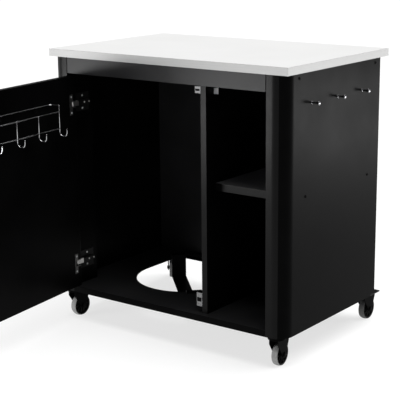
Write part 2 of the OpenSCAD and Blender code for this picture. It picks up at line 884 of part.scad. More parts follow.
module hook_rack() {
    y0 = door_back_y + wire_gap_y;
    y1 = door_back_y + rack_d;
    b = rack_bend_r;
    color(bright) on_door() difference() {
        union() {
            rod_x([rack_x0 + b, rack_x1 - b], y0, rack_top_z, rail_r, few);
            translate([rack_x0 + b, y0 + b, rack_top_z]) rotate([0, 0, 180]) wire_bend(b, 90, rail_r);
            translate([rack_x1 - b, y0 + b, rack_top_z]) rotate([0, 0, 270]) wire_bend(b, 90, rail_r);
            for (x = [rack_x0, rack_x1])
                rod_y(x, [y0 + b, y1], rack_top_z, rail_r, few);
            for (z = [rack_mid_z, rack_low_z])
                rod_x([rack_x0, rack_x1], y1, z, rail_r, few);
            for (i = [0 : hook_n - 1])
                hook(rack_x0 + i * hook_pitch,
                     (i == 0 || i == hook_n - 1) ? rack_top_z + wire_over : rack_mid_z);
            for (x = tab_xs)
                block([x - tab_w / 2, x + tab_w / 2], [door_back_y, door_back_y + tab_t], tab_z);
        }
        for (x = tab_xs)
            rod_y(x, [door_back_y - cut, door_back_y + tab_t + cut], tab_screw_z, small_r + run_fit,
                  few);
    }
}

module rack_screws() {
    face = door_back_y + tab_t;
    color(black) on_door() for (x = tab_xs) {
        rod_y(x, [face - small_screw_l, face], tab_screw_z, small_r, few);
        rod_y(x, [face, face + small_head_h], tab_screw_z, small_head_r, few);
    }
}

// ---------- casters ----------

// the fixed part of a caster: a disc under the rail, and a stem with a collar inside the fork
module caster_heads() {
    below = fork_top_z - fork_plate_t;
    color(black) for (i = [0 : 3]) on_caster(i) {
        rod_z(0, 0, [base_z - head_t, base_z], head_r, fine);
        rod_z(0, 0, [below - collar_gap - collar_t, base_z + stem_top], stem_r, mid);
        rod_z(0, 0, [below - collar_gap - collar_t, below - collar_gap], collar_r, mid);
    }
}

module caster_nuts() {
    z = [base_z + rail_t, base_z + rail_t + stem_nut_h];
    color(zinc) for (i = [0 : 3]) on_caster(i) difference() {
        rod_z(0, 0, z, stem_nut_r, 6);
        rod_z(0, 0, [z[0] - cut, z[1] + cut], stem_r + seat_fit, mid);
    }
}

// one leg of the fork, wide at the crown and narrow at the axle
module fork_leg() {
    rotate([90, 0, 90]) linear_extrude(fork_t) polygon([
        [fork_y[0], fork_top_z], [fork_y[1], fork_top_z], [fork_y[1] - 2, fork_shoulder_z],
        [caster_trail + fork_eye_r - eps, axle_z - 3], [caster_trail - fork_eye_r + eps, axle_z - 3],
        [fork_y[0], fork_shoulder_z]
    ]);
    rod_x([0, fork_t], caster_trail, axle_z, fork_eye_r, mid);
}

module fork(i) {
    color(paint) on_caster(i) difference() {
        union() {
            rod_z(0, 0, [fork_top_z - fork_plate_t, fork_top_z], crown_r, fine);
            block([-fork_out, fork_out], fork_y, [fork_top_z - fork_plate_t, fork_top_z]);
            translate([fork_in, 0, 0]) fork_leg();
            translate([-fork_out, 0, 0]) fork_leg();
        }
        rod_z(0, 0, [fork_top_z - fork_plate_t - cut, fork_top_z + cut], stem_r + run_fit, mid);
        rod_x([-fork_out - cut, fork_out + cut], caster_trail, axle_z, axle_r + run_fit, mid);
    }
}

// a bolt through fork and wheel, with its nut
module axle(i) {
    head_x = -fork_out - gap;
    nut_x = fork_out + gap;
    color(black) on_caster(i) {
        rod_x([head_x - axle_head_t + eps, nut_x + axle_nut_t + axle_end], caster_trail, axle_z,
              axle_r, mid);
        rod_x([head_x - axle_head_t, head_x], caster_trail, axle_z, axle_head_r, mid);
        translate([nut_x, caster_trail, axle_z]) rotate([0, 90, 0])
            cylinder(r = axle_nut_r, h = axle_nut_t, $fn = 6);
    }
}

// the moulded wheel inside its tread: a rim, a thin web and a hub
module wheel(i) {
    color(black) on_caster(i) difference() {
        union() {
            rod_x([-core_half, core_half], caster_trail, axle_z, core_r, fine);
            rod_x([-hub_half, hub_half], caster_trail, axle_z, hub_r, mid);
        }
        for (side = [[-hub_half - cut, -core_web / 2], [core_web / 2, hub_half + cut]]) difference() {
            rod_x(side, caster_trail, axle_z, core_r - core_rim, fine);
            rod_x([-hub_half - 2 * cut, hub_half + 2 * cut], caster_trail, axle_z, hub_r, mid);
        }
        rod_x([-hub_half - cut, hub_half + cut], caster_trail, axle_z, axle_r + run_fit, mid);
    }
}

module tyre(i) {
    half = wheel_w / 2;
    r = wheel_d / 2;
    inner = core_r + run_fit;
    color(grey) on_caster(i) translate([0, caster_trail, r]) rotate([0, 90, 0])
        rotate_extrude($fn = 2 * fine) polygon([
            [inner, -half], [r - tread_bevel, -half], [r, -half + tread_bevel],
            [r, half - tread_bevel], [r - tread_bevel, half], [inner, half]
        ]);
}

module fork_front_left() { fork(0); }
module fork_front_right() { fork(1); }
module fork_rear_left() { fork(2); }
module fork_rear_right() { fork(3); }
module axle_front_left() { axle(0); }
module axle_front_right() { axle(1); }
module axle_rear_left() { axle(2); }
module axle_rear_right() { axle(3); }
module wheel_front_left() { wheel(0); }
module wheel_front_right() { wheel(1); }
module wheel_rear_left() { wheel(2); }
module wheel_rear_right() { wheel(3); }
module tyre_front_left() { tyre(0); }
module tyre_front_right() { tyre(1); }
module tyre_rear_left() { tyre(2); }
module tyre_rear_right() { tyre(3); }

worktop();
worktop_edging();
worktop_screws();
side_panel_left();
side_panel_right();
apron();
back_panel();
partition();
hinge_post();
front_post();
floor_tray();
base_front_rail();
base_rear_rail();
cradle_strap();
shelf();
shelf_screws();
side_screws();
peg_front();
peg_middle();
peg_rear();
peg_nuts();
catch_top();
catch_bottom();
partition_bracket();
inner_screws();
hinge_plate_bottom();
hinge_plate_top();
hinge_arm_bottom();
hinge_arm_top();
hinge_link_bottom();
hinge_link_top();
hinge_pins();
door_front();
door_back();
handle();
handle_screws();
hook_rack();
rack_screws();
hinge_cup_bottom();
hinge_cup_top();
cup_screws();
strike_plates();
caster_heads();
caster_nuts();
fork_front_left();
fork_front_right();
fork_rear_left();
fork_rear_right();
axle_front_left();
axle_front_right();
axle_rear_left();
axle_rear_right();
wheel_front_left();
wheel_front_right();
wheel_rear_left();
wheel_rear_right();
tyre_front_left();
tyre_front_right();
tyre_rear_left();
tyre_rear_right();
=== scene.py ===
"""The kitchen island cart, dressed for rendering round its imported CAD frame.

Metres, +X right, +Y back, +Z up, origin on the ground under the worktop's centre.
"""
import json
import math

import bmesh
import bpy
import numpy as np
from mathutils import Matrix, Vector

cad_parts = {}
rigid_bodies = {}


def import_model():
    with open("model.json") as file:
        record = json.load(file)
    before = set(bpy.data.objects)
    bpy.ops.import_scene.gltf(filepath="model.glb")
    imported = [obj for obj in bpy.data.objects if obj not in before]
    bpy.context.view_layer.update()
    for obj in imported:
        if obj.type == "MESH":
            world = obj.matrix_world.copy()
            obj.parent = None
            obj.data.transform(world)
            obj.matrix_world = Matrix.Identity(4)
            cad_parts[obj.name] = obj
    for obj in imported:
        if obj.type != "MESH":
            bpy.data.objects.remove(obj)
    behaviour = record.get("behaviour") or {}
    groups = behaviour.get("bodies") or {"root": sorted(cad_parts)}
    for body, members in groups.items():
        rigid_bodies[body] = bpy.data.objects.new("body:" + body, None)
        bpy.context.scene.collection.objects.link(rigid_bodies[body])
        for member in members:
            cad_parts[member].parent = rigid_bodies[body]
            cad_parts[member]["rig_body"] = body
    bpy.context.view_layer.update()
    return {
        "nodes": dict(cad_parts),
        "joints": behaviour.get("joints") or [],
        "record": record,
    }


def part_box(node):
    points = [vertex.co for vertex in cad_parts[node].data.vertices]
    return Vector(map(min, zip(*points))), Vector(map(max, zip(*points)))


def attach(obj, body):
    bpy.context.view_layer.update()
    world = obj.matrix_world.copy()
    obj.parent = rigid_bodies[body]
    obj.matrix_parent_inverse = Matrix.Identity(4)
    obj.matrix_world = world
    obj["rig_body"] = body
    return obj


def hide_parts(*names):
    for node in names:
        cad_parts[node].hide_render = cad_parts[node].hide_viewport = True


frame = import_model()
nodes = frame["nodes"]
joints = {joint["name"]: joint for joint in frame["joints"]}

MM = 0.001
SPOTS = ("front_left", "front_right", "rear_left", "rear_right")


# ---------------------------------------------------------------- materials


def new_material(name):
    """A new node material, its node tree and its shader."""
    mat = bpy.data.materials.new(name)
    mat.use_nodes = True
    tree = mat.node_tree
    return mat, tree, tree.nodes["Principled BSDF"]


def add_node(tree, kind, **values):
    """Adds a node, each value given to the input or else the property of that name."""
    node = tree.nodes.new(kind)
    for key, value in values.items():
        if key in node.inputs:
            node.inputs[key].default_value = value
        else:
            setattr(node, key, value)
    return node


def noise(tree, scale, detail, rough, stretch=(1, 1, 1)):
    """A noise texture in object space, so it keeps its real size on every piece."""
    place = add_node(tree, "ShaderNodeTexCoord")
    mapping = add_node(tree, "ShaderNodeMapping")
    mapping.inputs["Scale"].default_value = stretch
    tex = add_node(tree, "ShaderNodeTexNoise")
    tex.inputs["Scale"].default_value = scale
    tex.inputs["Detail"].default_value = detail
    tex.inputs["Roughness"].default_value = rough
    tree.links.new(place.outputs["Object"], mapping.inputs["Vector"])
    tree.links.new(mapping.outputs["Vector"], tex.inputs["Vector"])
    return tex


def ramp(tree, source, low, high):
    """Maps the middle of a texture's range onto two colours or two grey values."""
    node = add_node(tree, "ShaderNodeValToRGB")
    node.color_ramp.elements[0].position = 0.35
    node.color_ramp.elements[1].position = 0.65
    for element, value in zip(node.color_ramp.elements, (low, high)):
        rgb = value if isinstance(value, tuple) else (value, value, value)
        element.color = (*rgb, 1)
    tree.links.new(source, node.inputs["Fac"])
    return node.outputs["Color"]


def bump(tree, shader, sources):
    """Chains height sources, each (output, distance in metres, strength), into the normal."""
    last = None
    for output, distance, strength in sources:
        node = add_node(tree, "ShaderNodeBump")
        node.inputs["Distance"].default_value = distance
        node.inputs["Strength"].default_value = strength
        tree.links.new(output, node.inputs["Height"])
        if last:
            tree.links.new(last, node.inputs["Normal"])
        last = node.outputs["Normal"]
    tree.links.new(last, shader.inputs["Normal"])


def powder_coat(name, dark, light, rough, level):
    """Satin black powder coat: fine orange peel, faint cloudy wiping marks."""
    mat, tree, shader = new_material(name)
    cloud = noise(tree, scale=7, detail=4, rough=0.55)
    grain = noise(tree, scale=900, detail=2, rough=0.5)
    peel = noise(tree, scale=320, detail=2, rough=0.5)
    colour = ramp(tree, cloud.outputs["Fac"], (dark, dark, dark * 1.04), (light, light, light * 1.04))
    tree.links.new(colour, shader.inputs["Base Color"])
    tree.links.new(ramp(tree, cloud.outputs["Fac"], rough, rough + 0.05), shader.inputs["Roughness"])
    shader.inputs["Specular IOR Level"].default_value = level
    bump(tree, shader, [(peel.outputs["Fac"], 0.00012, 0.25), (grain.outputs["Fac"], 0.00003, 0.2)])
    return mat


def black_finish(name, dark, light, rough, level, scale):
    """A smooth black finish whose tone wanders a little: dip paint, oxide, and the painted shade of the
    hinges.
    """
    mat, tree, shader = new_material(name)
    cloud = noise(tree, scale=scale, detail=4, rough=0.6)
    colour = ramp(tree, cloud.outputs["Fac"], (dark, dark, dark), (light, light, light))
    tree.links.new(colour, shader.inputs["Base Color"])
    tree.links.new(ramp(tree, cloud.outputs["Fac"], rough, rough + 0.12), shader.inputs["Roughness"])
    shader.inputs["Specular IOR Level"].default_value = level
    bump(tree, shader, [(cloud.outputs["Fac"], 0.0002, 0.3)])
    return mat


def laminate():
    """White melamine: a pearl stipple and a trace of unevenness."""
    mat, tree, shader = new_material("white_laminate")
    cloud = noise(tree, scale=5, detail=3, rough=0.5)
    pearl = noise(tree, scale=420, detail=3, rough=0.6)
    colour = ramp(tree, cloud.outputs["Fac"], (0.85, 0.85, 0.845), (0.87, 0.87, 0.867))
    tree.links.new(colour, shader.inputs["Base Color"])
    tree.links.new(ramp(tree, pearl.outputs["Fac"], 0.36, 0.46), shader.inputs["Roughness"])
    shader.inputs["Specular IOR Level"].default_value = 0.15
    bump(tree, shader, [(pearl.outputs["Fac"], 0.00008, 0.25)])
    return mat


def edging():
    """White edging strip, a darker copy of the worktop's white, painted shade on the worktop's edge faces:
    smooth, with faint machining lines along its length.
    """
    mat, tree, shader = new_material("white_edging_painted_shade")
    lines = noise(tree, scale=60, detail=2, rough=0.5, stretch=(0.05, 0.05, 18))
    colour = ramp(tree, lines.outputs["Fac"], (0.48, 0.48, 0.477), (0.52, 0.52, 0.517))
    tree.links.new(colour, shader.inputs["Base Color"])
    tree.links.new(ramp(tree, lines.outputs["Fac"], 0.40, 0.50), shader.inputs["Roughness"])
    shader.inputs["Specular IOR Level"].default_value = 0.35
    bump(tree, shader, [(lines.outputs["Fac"], 0.00004, 0.2)])
    return mat


def plated(name, low, high, rough, scale):
    """A plated metal whose tone and gloss wander a little."""
    mat, tree, shader = new_material(name)
    cloud = noise(tree, scale=scale, detail=4, rough=0.6)
    tree.links.new(ramp(tree, cloud.outputs["Fac"], low, high), shader.inputs["Base Color"])
    tree.links.new(ramp(tree, cloud.outputs["Fac"], *rough), shader.inputs["Roughness"])
    shader.inputs["Metallic"].default_value = 1.0
    bump(tree, shader, [(cloud.outputs["Fac"], 0.00003, 0.3)])
    return mat


def rubber(name, dark, light):
    """Grey non-marking tread: dull, with dust and a fine moulded grain."""
    mat, tree, shader = new_material(name)
    dust = noise(tree, scale=90, detail=5, rough=0.65)
    grain = noise(tree, scale=1400, detail=2, rough=0.5)
    colour = ramp(tree, dust.outputs["Fac"], (dark, dark, dark), (light, light, light * 0.99))
    tree.links.new(colour, shader.inputs["Base Color"])
    tree.links.new(ramp(tree, dust.outputs["Fac"], 0.62, 0.78), shader.inputs["Roughness"])
    bump(tree, shader, [(grain.outputs["Fac"], 0.00006, 0.4), (dust.outputs["Fac"], 0.0001, 0.2)])
    return mat


def core_plastic():
    """Black moulded plastic of the wheel cores, with faint flow marks."""
    mat, tree, shader = new_material("dark_core")
    flow = noise(tree, scale=45, detail=4, rough=0.6)
    grain = noise(tree, scale=1100, detail=2, rough=0.5)
    colour = ramp(tree, flow.outputs["Fac"], (0.004, 0.004, 0.004), (0.008, 0.008, 0.008))
    tree.links.new(colour, shader.inputs["Base Color"])
    tree.links.new(ramp(tree, flow.outputs["Fac"], 0.42, 0.55), shader.inputs["Roughness"])
    shader.inputs["Specular IOR Level"].default_value = 0.08
    bump(tree, shader, [(grain.outputs["Fac"], 0.00004, 0.3)])
    return mat


def floor_material():
    """Plain pale studio floor, lit a little from within so that shadows stay soft."""
    mat, tree, shader = new_material("studio_floor")
    cloud = noise(tree, scale=1.5, detail=2, rough=0.5)
    colour = ramp(tree, cloud.outputs["Fac"], (0.31, 0.31, 0.31), (0.33, 0.33, 0.33))
    tree.links.new(colour, shader.inputs["Base Color"])
    shader.inputs["Roughness"].default_value = 1.0
    shader.inputs["Specular IOR Level"].default_value = 0.0
    shader.inputs["Emission Color"].default_value = (1, 1, 1, 1)
    shader.inputs["Emission Strength"].default_value = 0.7
    return mat


# One satin black coat in lit and shaded copies, each toned for the light that its piece or face catches:
# the flank coat is darker and less glossy, painted shade; the inner, apron and shelf coats are lighter,
# painted light.
BLACK = powder_coat("black_powder_coat", 0.0015, 0.0025, 0.28, 0.085)
FLANK_PAINTED_SHADE = powder_coat("flank_coat_painted_shade", 0.0012, 0.0020, 0.34, 0.018)
INNER_PAINTED_LIGHT = powder_coat("inner_coat_painted_light", 0.0120, 0.0170, 0.40, 0.10)
APRON_PAINTED_LIGHT = powder_coat("apron_coat_painted_light", 0.0200, 0.0280, 0.32, 0.11)
SHELF_PAINTED_LIGHT = powder_coat("shelf_coat_painted_light", 0.0700, 0.0900, 0.40, 0.20)
BRIGHT_ZINC = plated("bright_zinc_plate", (0.80, 0.80, 0.81), (0.90, 0.90, 0.91), (0.50, 0.62), 120)
DULL_ZINC = plated("dull_zinc_plate", (0.12, 0.12, 0.122), (0.20, 0.20, 0.203), (0.42, 0.55), 120)
FORK = black_finish("black_dip_paint", 0.0015, 0.003, 0.40, 0.012, 60)
OXIDE = black_finish("black_oxide", 0.001, 0.003, 0.42, 0.03, 240)
# A near-black finish for the hinge plates and arms: painted shade where they sit in the cabinet's shadow.
HINGE_PAINTED_SHADE = black_finish("hinge_painted_shade", 0.004, 0.010, 0.36, 0.08, 180)
WHITE = laminate()
# The edging is a darker copy of the white, painted shade on the worktop's edges.
EDGING_PAINTED_SHADE = edging()
CHROME = plated("chrome_plate", (0.46, 0.46, 0.47), (0.56, 0.56, 0.57), (0.12, 0.20), 30)
SMOKED = plated("dark_chrome_plate", (0.26, 0.26, 0.27), (0.36, 0.36, 0.37), (0.16, 0.26), 60)
NICKEL = plated("nickel_plate", (0.44, 0.435, 0.425), (0.58, 0.575, 0.56), (0.34, 0.46), 80)
DULL_NICKEL = plated("dull_nickel_plate", (0.09, 0.089, 0.087), (0.15, 0.149, 0.146), (0.40, 0.52), 80)
ZINC = plated("zinc_plate", (0.52, 0.53, 0.54), (0.70, 0.71, 0.72), (0.26, 0.42), 120)
TREAD = rubber("grey_tread", 0.20, 0.27)
# A darker copy of the tread rubber for the rear wheels: painted shade.
REAR_TREAD_PAINTED_SHADE = rubber("worn_tread", 0.05, 0.08)
CORE = core_plastic()
SLOT_FINISH = {
    "laminate": WHITE, "edging": EDGING_PAINTED_SHADE, "tread": TREAD, "wheel_core": CORE, "fork_black": FORK,
    "chrome": CHROME, "dark_chrome": SMOKED, "black_oxide": OXIDE, "nickel": NICKEL, "zinc": ZINC,
    "black_steel": BLACK,
}
slot_of = {part["node"]: part["material_slot"] for part in frame["record"]["subparts"]}


# ---------------------------------------------------------------- mesh helpers


def make_object(name, bm, finish, smooth=True, sharp=32):
    """Turns a bmesh into an object, smooth but for edges sharper than the given angle."""
    bmesh.ops.recalc_face_normals(bm, faces=bm.faces)
    mesh = bpy.data.meshes.new(name)
    bm.to_mesh(mesh)
    bm.free()
    mesh.materials.append(finish)
    mesh.polygons.foreach_set("use_smooth", [smooth] * len(mesh.polygons))
    mesh.set_sharp_from_angle(angle=math.radians(sharp))
    obj = bpy.data.objects.new(name, mesh)
    bpy.context.scene.collection.objects.link(obj)
    return obj


def settle(obj, body, slot, *replaced):
    """Ties a finished piece to its body and hides the CAD nodes it stands for. The slot is not used."""
    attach(obj, body)
    if replaced:
        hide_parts(*replaced)
    return obj


def body_of(node):
    """The body that a CAD node rides on."""
    return nodes[node]["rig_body"]


def joined(node):
    """A copy of a CAD node's mesh with its split vertices joined."""
    bm = bmesh.new()
    bm.from_mesh(nodes[node].data)
    bmesh.ops.remove_doubles(bm, verts=bm.verts, dist=2e-6)
    return bm


def welded(node):
    """A joined copy of a CAD node's mesh with its flat triangles merged into faces."""
    bm = joined(node)
    bmesh.ops.dissolve_limit(
        bm, angle_limit=math.radians(0.4), verts=bm.verts, edges=bm.edges, delimit=set()
    )
    return bm


def round_edges(bm, width, segments):
    """Rounds every edge where the faces turn by more than 28 degrees."""
    limit = math.radians(28)
    edges = [e for e in bm.edges if len(e.link_faces) == 2 and e.calc_face_angle(0) > limit]
    bmesh.ops.bevel(
        bm, geom=edges, offset=width, offset_type="OFFSET", segments=segments, profile=0.5,
        affect="EDGES", clamp_overlap=True,
    )


def weighted(obj):
    """Even shading on wide faces next to narrow rounded edges."""
    mod = obj.modifiers.new("weighted", "WEIGHTED_NORMAL")
    mod.keep_sharp = True
    mod.weight = 80


def refined(node, width, segments=2, finish=None, reshape=None):
    """Replaces a CAD node by a copy with rounded edges, after any change of shape."""
    bm = welded(node)
    if reshape:
        reshape(bm)
    round_edges(bm, width, segments)
    slot = slot_of[node]
    obj = make_object(node + ".fine", bm, finish or SLOT_FINISH[slot])
    weighted(obj)
    return settle(obj, body_of(node), slot, node)


def solids(node):
    """The separate solids of a CAD node, each as an array of its points."""
    bm = joined(node)
    seen, found = set(), []
    for start in bm.verts:
        if start in seen:
            continue
        stack, group = [start], []
        seen.add(start)
        while stack:
            vert = stack.pop()
            group.append(vert.co[:])
            for edge in vert.link_edges:
                other = edge.other_vert(vert)
                if other not in seen:
                    seen.add(other)
                    stack.append(other)
        found.append(np.array(group))
    bm.free()
    return found


def axis_frame(origin, direction):
    """A matrix whose +Z is the direction, placed at the origin."""
    turn = Vector(direction).to_track_quat("Z", "Y").to_matrix().to_4x4()
    return Matrix.Translation(Vector(origin)) @ turn


def lathe(bm, profile, steps, matrix):
    """Revolves (radius, height) points about +Z. A radius of 0 closes onto the axis."""
    rings = []
    for r, z in profile:
        if r < 1e-9:
            rings.append([bm.verts.new((0, 0, z))])
        else:
            ring = []
            for i in range(steps):
                a = 2 * math.pi * i / steps
                ring.append(bm.verts.new((r * math.cos(a), r * math.sin(a), z)))
            rings.append(ring)
    for low, high in zip(rings, rings[1:]):
        for i in range(steps):
            j = (i + 1) % steps
            quad = [low[i % len(low)], low[j % len(low)], high[j % len(high)], high[i % len(high)]]
            corners = list(dict.fromkeys(quad))
            if len(corners) > 2:
                bm.faces.new(corners)
    made = [v for ring in rings for v in ring]
    bmesh.ops.transform(bm, matrix=matrix, verts=made)


def arc(cx, cz, r, start, end, steps):
    """Points of an arc in a profile, angles in degrees."""
    out = []
    for i in range(steps + 1):
        a = math.radians(start + (end - start) * i / steps)
        out.append((cx + r * math.cos(a), cz + r * math.sin(a)))
    return out


def block(bm, low, high, round_by, matrix=Matrix()):
    """A box between two corners with rounded edges, then carried by the matrix."""
    part = bmesh.new()
    bmesh.ops.create_cube(part, size=1)
    size = Vector(high) - Vector(low)
    middle = (Vector(high) + Vector(low)) / 2
    shape = Matrix.Translation(middle) @ Matrix.Diagonal((*size, 1))
    bmesh.ops.transform(part, matrix=shape, verts=part.verts)
    bmesh.ops.bevel(
        part, geom=part.edges[:], offset=round_by, offset_type="OFFSET", segments=2,
        profile=0.5, affect="EDGES", clamp_overlap=True,
    )
    bmesh.ops.transform(part, matrix=matrix, verts=part.verts)
    merge_into(bm, part)


def merge_into(bm, part):
    """Adds one bmesh's geometry to another."""
    mesh = bpy.data.meshes.new("part")
    part.to_mesh(mesh)
    part.free()
    bm.from_mesh(mesh)
    bpy.data.meshes.remove(mesh)


def tube(bm, points, radius):
    """A round wire along a list of points, with a dome at each end."""
    steps = 14
    path = [Vector(p) for p in points]
    tangents = []
    for i in range(len(path)):
        before = path[max(i - 1, 0)]
        after = path[min(i + 1, len(path) - 1)]
        tangents.append((after - before).normalized())
    side = tangents[0].orthogonal().normalized()
    rings = []
    for point, tangent in zip(path, tangents):
        side = (side - tangent * side.dot(tangent)).normalized()
        up = tangent.cross(side)
        ring = []
        for i in range(steps):
            a = 2 * math.pi * i / steps
            ring.append(bm.verts.new(point + (side * math.cos(a) + up * math.sin(a)) * radius))
        rings.append(ring)
    for low, high in zip(rings, rings[1:]):
        for i in range(steps):
            j = (i + 1) % steps
            bm.faces.new((low[i], low[j], high[j], high[i]))
    round_cap(bm, rings[0], -tangents[0], path[0], radius)
    round_cap(bm, rings[-1], tangents[-1], path[-1], radius)


def round_cap(bm, ring, tangent, centre, radius):
    """Closes a tube's end with a dome."""
    last = ring
    for turn in (30, 60):
        a = math.radians(turn)
        shift = centre + tangent * radius * math.sin(a)
        new = [bm.verts.new(shift + (v.co - centre) * math.cos(a)) for v in ring]
        for i in range(len(ring)):
            j = (i + 1) % len(ring)
            bm.faces.new((last[i], last[j], new[j], new[i]))
        last = new
    tip = bm.verts.new(centre + tangent * radius)
    for i in range(len(ring)):
        bm.faces.new((last[i], last[(i + 1) % len(ring)], tip))


# ---------------------------------------------------------------- screws


def screw_facts(points):
    """Where a screw's head is, its axis, its head's radius and height, and its length."""
    centre = points.mean(0)
    _, _, rows = np.linalg.svd(points - centre)
    spans = [np.ptp((points - centre) @ row) for row in rows]
    radial = [abs(spans[(i + 1) % 3] - spans[(i + 2) % 3]) for i in range(3)]
    axis = rows[int(np.argmin(radial))]
    along = (points - centre) @ axis
    away = np.linalg.norm((points - centre) - np.outer(along, axis), axis=1)
    rim_share = 0.97
    wide = along[away > rim_share * away.max()]
    if wide.mean() < (along.max() + along.min()) / 2:
        axis, along, wide = -axis, -along, -wide
    return {
        "head": centre + axis * along.max(),
        "axis": axis,
        "head_r": away.max(),
        "head_h": along.max() - wide.min(),
        "length": np.ptp(along),
    }


def cross_head(bm, head, axis, head_r, head_h, steps=40, rings=14):
    """A domed pan head with a cross recess, its top at the head point."""
    slot_w = head_r * 0.17
    slot_l = head_r * 0.62
    crown, recess = 0.55, 0.7
    wall_at, wall_slope = 1.25, 2.2
    taper = 0.6
    grid = [[bm.verts.new((0, 0, 0))]]
    for k in range(1, rings + 1):
        r = head_r * k / rings
        grid.append([bm.verts.new((r * math.cos(2 * math.pi * i / steps),
                                   r * math.sin(2 * math.pi * i / steps), 0)) for i in range(steps)])
    for ring in grid:
        for v in ring:
            x, y = abs(v.co.x), abs(v.co.y)
            r = math.hypot(x, y) / head_r
            top = -head_h * crown * r ** 4
            arm = min(max(x / slot_w, y / slot_l), max(x / slot_l, y / slot_w))
            wall = min(1.0, max(0.0, (wall_at - arm) * wall_slope))
            depth = head_h * recess * wall * (1 - taper * r)
            v.co.z = top - depth
    rim = [bm.verts.new((v.co.x, v.co.y, -head_h)) for v in grid[-1]]
    grid.append(rim)
    for low, high in zip(grid, grid[1:]):
        for i in range(steps):
            j = (i + 1) % steps
            quad = [low[i % len(low)], low[j % len(low)], high[j], high[i]]
            bm.faces.new(list(dict.fromkeys(quad)))
    bm.faces.new(list(reversed(rim)))
    made = [v for ring in grid for v in ring]
    bmesh.ops.transform(bm, matrix=axis_frame(head, axis), verts=made)


def threaded(bm, start, axis, radius, length):
    """A shank with thread ridges, from the start back against the axis."""
    pitch = 0.0009
    turns = max(3, int(length / pitch))
    profile = [(0, 0), (radius * 0.95, 0)]
    for i in range(turns):
        z = -length * (i + 0.5) / turns
        profile.append((radius, z + pitch * 0.22))
        profile.append((radius * 0.84, z - pitch * 0.28))
    profile += [(radius * 0.8, -length + radius * 0.4), (0, -length)]
    lathe(bm, profile, 20, axis_frame(start, axis))


def screws(node, shank_r):
    """Stands real screws where a CAD node has its plain ones."""
    bm = bmesh.new()
    for points in solids(node):
        facts = screw_facts(points)
        cross_head(bm, facts["head"], facts["axis"], facts["head_r"], facts["head_h"])
        root = Vector(facts["head"]) - Vector(facts["axis"]) * facts["head_h"]
        threaded(bm, root, Vector(facts["axis"]), shank_r, facts["length"] - facts["head_h"])
    slot = slot_of[node]
    obj = make_object(node + ".cross", bm, SLOT_FINISH[slot], sharp=40)
    return settle(obj, body_of(node), slot, node)


# ---------------------------------------------------------------- cabinet

SHEET_EDGE = 0.35 * MM


def coat_side(obj, finish, direction):
    """Gives the faces of a piece that look one way a coat of their own, so that one side of it can carry
    painted light or painted shade.
    """
    obj.data.materials.append(finish)
    index = len(obj.data.materials) - 1
    nearly_along = 0.9
    for face in obj.data.polygons:
        if face.normal.dot(Vector(direction)) > nearly_along:
            face.material_index = index


def coat_front(obj, finish):
    """Gives the faces that look to the front a coat of their own; the other faces keep a painted light or
    painted shade copy.
    """
    coat_side(obj, finish, (0, -1, 0))


def apron():
    """The apron, a shadow gap clear of the side panels' front folds at each end."""
    gap = 2.4 * MM
    moved_zone = 4 * MM
    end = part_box("apron")[1].x - moved_zone
    # The apron wears a lighter copy of the black coat: painted light.
    obj = refined("apron", SHEET_EDGE, finish=APRON_PAINTED_LIGHT)
    for vert in obj.data.vertices:
        if abs(vert.co.x) > end:
            vert.co.x -= math.copysign(gap, vert.co.x)


apron()
for name in ("front_post", "door_front"):
    refined(name, SHEET_EDGE)
# Side panels, partition, door back and hinge post wear the flank coat, painted shade; their front faces
# keep the plain black coat.
for name in ("side_panel_left", "side_panel_right", "partition", "door_back", "hinge_post"):
    coat_front(refined(name, SHEET_EDGE, finish=FLANK_PAINTED_SHADE), BLACK)
# The back panel wears the inner coat, a lighter copy: painted light inside the compartments.
refined("back_panel", SHEET_EDGE, finish=INNER_PAINTED_LIGHT)


def thin_rim(bm):
    """Draws the collar under the opening's edge up against the sheet, whose thin edge shows."""
    collar_drop = 18.5 * MM
    edge_drop = 1.7 * MM
    near = 0.2 * MM
    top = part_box("floor_tray")[1].z
    collar = top - collar_drop
    for vert in bm.verts:
        if abs(vert.co.z - collar) < near:
            vert.co.z = top - edge_drop


def floor_tray():
    """The floor tray in the flank coat, painted shade, with its upper faces in the inner coat, painted
    light.
    """
    obj = refined("floor_tray", SHEET_EDGE, finish=FLANK_PAINTED_SHADE, reshape=thin_rim)
    coat_side(obj, INNER_PAINTED_LIGHT, (0, 0, 1))


floor_tray()
# The cradle strap wears the flank coat, painted shade.
refined("cradle_strap", SHEET_EDGE, finish=FLANK_PAINTED_SHADE)
# The shelf wears a much lighter copy of the black coat, painted light, but for its front faces, which keep
# the plain black coat.
coat_front(refined("shelf", SHEET_EDGE, finish=SHELF_PAINTED_LIGHT), BLACK)
for name in ("base_front_rail", "base_rear_rail"):
    refined(name, 0.6 * MM)
refined("worktop", 0.1 * MM)
refined("worktop_edging", 0.9 * MM, 3)
for name, shank in (
    ("worktop_screws", 2), ("side_screws", 2.5), ("shelf_screws", 2.5), ("inner_screws", 2),
    ("cup_screws", 2), ("handle_screws", 2), ("rack_screws", 2),
):
    screws(name, shank * MM)


